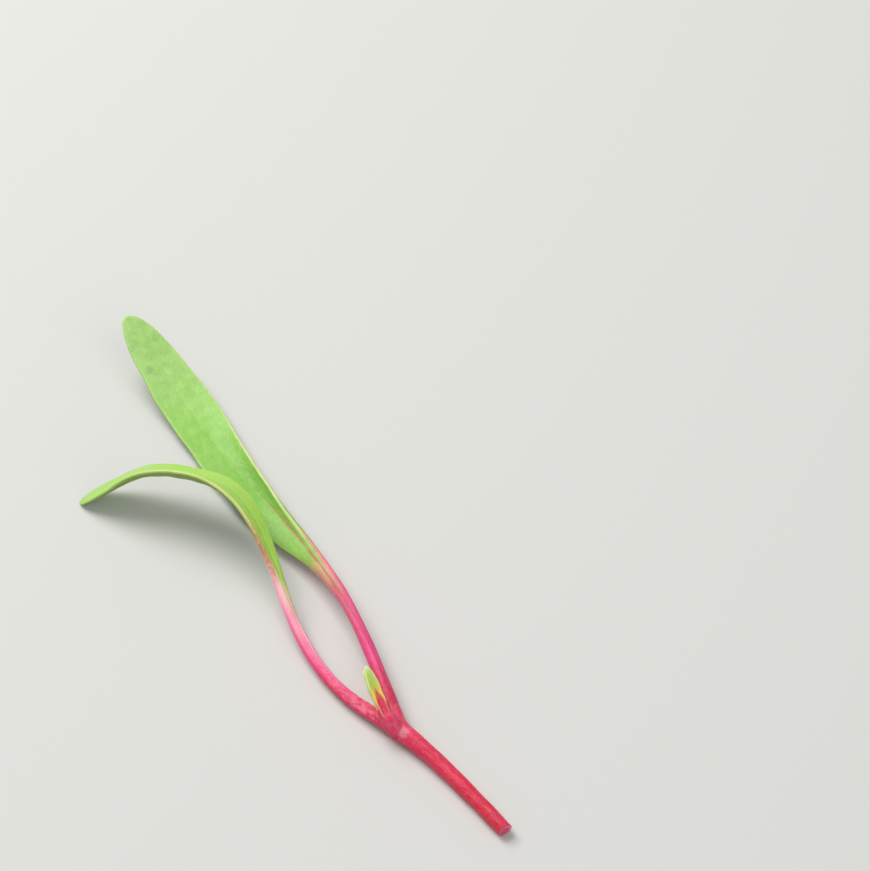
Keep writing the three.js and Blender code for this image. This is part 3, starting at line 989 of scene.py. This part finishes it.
long_leaf.data.materials.append(leaf_material(
    "long_leaf_skin", LONG,
    stops=[(0.0, (218, 42, 84)), (3.0, (208, 44, 88)), (7.0, (228, 74, 136)),
           (12.0, (234, 112, 150)), (15.5, (206, 164, 128)), (18.5, (152, 188, 80))],
    # The long leaf's tip green is paler than the blade's own colour, partly as painted light on its
    # raised tip.
    greens=((142, 188, 74), (148, 202, 92), (184, 226, 138), (126, 182, 70),
            (120, 160, 62)),
    under_shift=3.5, left_shift=0.0, mottling=0.12, rims=(0.85, 0.25),
    red_line=("midrib", 0.24, 12.0, 27.0, 0.8),
    bruises=[((-1.1, 43.5, 0.3), 0.55, 0.3), ((-0.6, 42.6, 0.3), 0.4, 0.26),
             ((-1.5, 46.0, 0.3), 0.5, 0.2)],
))
arched_leaf.data.materials.append(leaf_material(
    "arched_leaf_skin", ARCHED,
    stops=[(0.0, (228, 50, 98)), (3.0, (228, 52, 102)), (5.0, (238, 82, 136)),
           (8.0, (245, 130, 172)), (10.6, (247, 172, 194)), (13.0, (243, 206, 198)),
           (15.2, (226, 216, 164)), (17.2, (172, 210, 96))],
    greens=((166, 212, 84), (168, 214, 92), (156, 200, 102), (158, 206, 76),
            (124, 158, 62)),
    under_shift=2.0, left_shift=2.5, mottling=0.5, rims=(0.25, 0.9),
    red_line=("left margin", 0.22, 18.0, 24.5, 0.7),
    bruises=[],
))

# %% [markdown]
# ## The true leaves
#
# The first real beet leaves come up between the seed leaves, the lower nested close under the
# upper. Each has a channel along its midrib, which is red towards the base and melts into the
# pink foot, so that its two margins end there as pale points. They are the same kind of surface
# as a seed leaf, only tiny.


# %% Two channelled leaves
TRUE_LENGTH, TRUE_BASE_WIDTH, TRUE_WIDTH, TRUE_THICKNESS = 4.4, 0.6, 0.86, 0.3
TRUE_NESTING = 0.42  # how far the lower leaf lies under the upper
TRUE_FOOT_HEIGHT = FORK_HEIGHT + STALK_THICKNESS / 2 + TRUE_THICKNESS + 0.3
TRUE_RISE = 2.14
TRUE_BEARING = 118
TRUE_CURL = 22.0


def true_leaf(name, side, replaces):
    """side is 1 for the upper leaf and -1 for the lower, which nests close under the upper.

    A leaf starts at a share of 0.08 of its midline, so that it ends inside the pink foot.
    """
    foot = TRUE_FOOT_HEIGHT - (1 - side) / 2 * TRUE_NESTING
    path = walk((-0.77, 0.0), TRUE_LENGTH,
                bearing=[[0, TRUE_BEARING], [1, TRUE_BEARING - 2 * side]],
                height=[[0, foot], [1, foot + TRUE_RISE]])
    share = 0.08 + 0.92 * np.sin(np.linspace(0, math.pi / 2, 150))
    rounding = np.sqrt(1 - np.minimum(share, 1) ** 6)
    channel = 0.17 * (1 - ease(share, 0.55, 0.9))

    def relief(d, y, z, cos, sin):
        fine = 0.008 * ripple(d, y, 0.5, 41 + side) * (1 - np.abs(cos) ** 4)
        return y * (1 + 0.04 * ripple(d, 0 * d, 1.2, 43 + side)), z + fine

    half = between(TRUE_BASE_WIDTH, TRUE_WIDTH, ease(share, 0, 0.6)) / 2 * rounding
    grid, facts = limb_skin(
        path, share * TRUE_LENGTH, 64, half, half, TRUE_THICKNESS / 2 * np.sqrt(rounding),
        curl_right=TRUE_CURL, curl_left=TRUE_CURL, squareness=3.0, groove=channel,
        groove_spread=0.62 * half, rib=channel * 0.9, rib_spread=0.62 * half, relief=relief)
    return limb_piece(name, grid, facts, "true_leaf", replaces)


upper_leaf = true_leaf("upper_true_leaf_skin", 1, "upper_true_leaf")
lower_leaf = true_leaf("lower_true_leaf_skin", -1, "lower_true_leaf")


# %% The true leaves' material
def true_leaf_material():
    """Yellow-green with pale margins, and a red wedge up the midrib from the base."""
    material, tree, shader = skin_material("young_leaf_skin", flesh_depth_mm=0.25, glow=0.3)
    _, across, distance, _ = straight_place(tree)
    edge = attribute(tree, "edge")
    clouds = use(tree, CLOUDS, Size_mm=0.4, Softness=0.25, Lengthen=2.5)["Mask"]
    fibres = use(tree, FIBRES, Fineness=9.0, Waver=0.2)["Mask"]
    cells = use(tree, CELLS, Per_mm=12.0)
    base = colour_stops(tree, spread_straight(tree, distance, 0.0, TRUE_LENGTH), [
        (0.0, (236, 112, 96)), (0.26, (246, 160, 92)), (0.5, (236, 210, 94)),
        (0.72, (192, 220, 106)), (1.0, (194, 224, 126))])
    base = coats(tree, base, (times(tree, clouds, 0.25), (176, 206, 84)))
    heart_width = spread(tree, distance, 0.9, 3.1, 0.36, 0.0)
    heart = times(tree, spread(
        tree, maths(tree, "SUBTRACT", maths(tree, "ABSOLUTE", across), heart_width),
        -0.05, 0.06, 1.0, 0.0), spread(tree, distance, 2.3, 3.1, 1.0, 0.0))
    heart_colour = colour_stops(tree, spread_straight(tree, distance, 0.0, 3.0), [
        (0.0, (234, 64, 118)), (0.45, (228, 70, 100)), (0.75, (214, 104, 84)),
        (1.0, (184, 150, 72))])
    rim = times(tree, spread(tree, edge, 0.72, 0.95),
                spread(tree, distance, 1.4, 3.8, 0.3, 0.85))
    tip = spread(tree, distance, TRUE_LENGTH - 0.5, TRUE_LENGTH - 0.08, 0.0, 0.9)
    colour = coats(tree, tint(tree, heart, base, heart_colour),
                   (rim, (230, 234, 168)), (tip, (222, 232, 186)))
    rough = spread(tree, clouds, 0, 1, 0.34, 0.44)
    finish_skin(tree, shader, colour, rough, (fibres, 0.008), (cells["Height"], 0.004))
    return material


young_skin = true_leaf_material()
for leaf in (upper_leaf, lower_leaf):
    leaf.data.materials.append(young_skin)

# %% [markdown]
# ## Table, light and camera
#
# The plant lies on a plain pale table. One broad lamp stands behind it on the left, where it
# models the round stalks and drops a soft shadow towards the viewer, a second fills from the
# front, and a pale world keeps the shadows open. The camera looks down from close by.

# %% The table
TABLE_REACH = 1.5
TABLE_DROP = 2e-5  # a hair under the plant, so that the two never share a plane
corners = [(-1, -1), (1, -1), (1, 1), (-1, 1)]
table_mesh = bpy.data.meshes.new("table_top")
table_mesh.from_pydata([(x * TABLE_REACH, y * TABLE_REACH, -TABLE_DROP) for x, y in corners],
                       [], [(0, 1, 2, 3)])
table = add_object("table_top", table_mesh)
table_paint = bpy.data.materials.new("pale_table")
table_paint.use_nodes = True
table_shader = table_paint.node_tree.nodes["Principled BSDF"]
table_shader.inputs["Base Color"].default_value = paint(208, 208, 205)
table_shader.inputs["Roughness"].default_value = 0.75
table_mesh.materials.append(table_paint)


# %% Lamps and world
def lamp(name, place, size, watts, colour):
    """A square area lamp at a place, turned to face the middle of the plant."""
    light = bpy.data.lights.new(name, "AREA")
    light.energy, light.size, light.color = watts, size, colour
    holder = add_object(name, light)
    holder.location = place
    way = -np.array(place)
    flat = math.hypot(way[0], way[1])
    holder.rotation_euler = (math.atan2(flat, -way[2]), 0, math.atan2(way[0], -way[1]) + math.pi)


lamp("window", place=(-0.25, 0.28, 0.45), size=0.40, watts=3.4, colour=(1.0, 0.99, 0.97))
lamp("fill", place=(0.25, -0.40, 0.35), size=0.50, watts=1.1, colour=(0.98, 0.99, 1.0))
world = bpy.data.worlds.new("studio")
world.use_nodes = True
background = world.node_tree.nodes["Background"]
background.inputs["Color"].default_value = (1.0, 1.0, 1.0, 1.0)
background.inputs["Strength"].default_value = 0.35
bpy.context.scene.world = world
bpy.context.scene.view_settings.view_transform = "Standard"

# %% The camera
LENS_MM, LOOK_DOWN_DEGREES = 95.06, 45
camera_data = bpy.data.cameras.new("camera")
camera_data.sensor_width, camera_data.lens, camera_data.clip_start = 36.0, LENS_MM, 0.01
camera = add_object("camera", camera_data)
camera.location = (0.011641, -0.120206, 0.135529)
camera.rotation_euler = (math.radians(LOOK_DOWN_DEGREES), 0, 0)
bpy.context.scene.camera = camera
